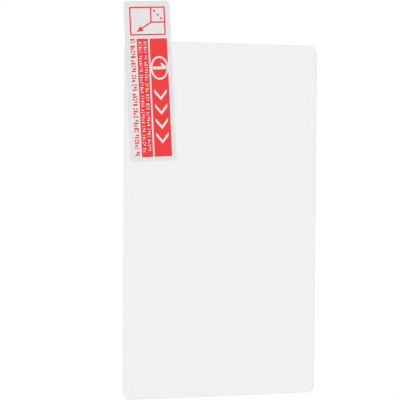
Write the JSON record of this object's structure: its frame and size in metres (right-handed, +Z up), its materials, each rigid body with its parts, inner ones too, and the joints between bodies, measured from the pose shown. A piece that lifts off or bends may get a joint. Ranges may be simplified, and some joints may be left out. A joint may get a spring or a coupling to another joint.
{
  "type": "camera screen protector",
  "caption": "Thin glass plate with a curved rim and rounded corners, backed by adhesive and a release liner, with a printed pull tab that reaches past one end.",
  "frame": {"origin": "centre of the glass plate's outer face, the face that the part lies on", "axes": "+X across the glass, +Y along the glass towards the end that the pull tab reaches past, +Z up through the adhesive and the liner to the tab"},
  "size_m": [0.043, 0.0845, 0.0006],
  "materials": {
    "tempered_glass": "polished",
    "silicone_adhesive": "clear",
    "liner_film": "clear gloss",
    "tab_film": "satin",
    "red_ink": "satin"
  },
  "bodies": {
    "root": {"glass_plate": "tempered_glass", "adhesive_layer": "silicone_adhesive", "release_liner": "liner_film", "pull_tab": "tab_film", "print_peel_picture": "red_ink", "print_number_band": "red_ink", "print_narrow_band": "red_ink", "print_note_line": "red_ink"}
  },
  "joints": []
}
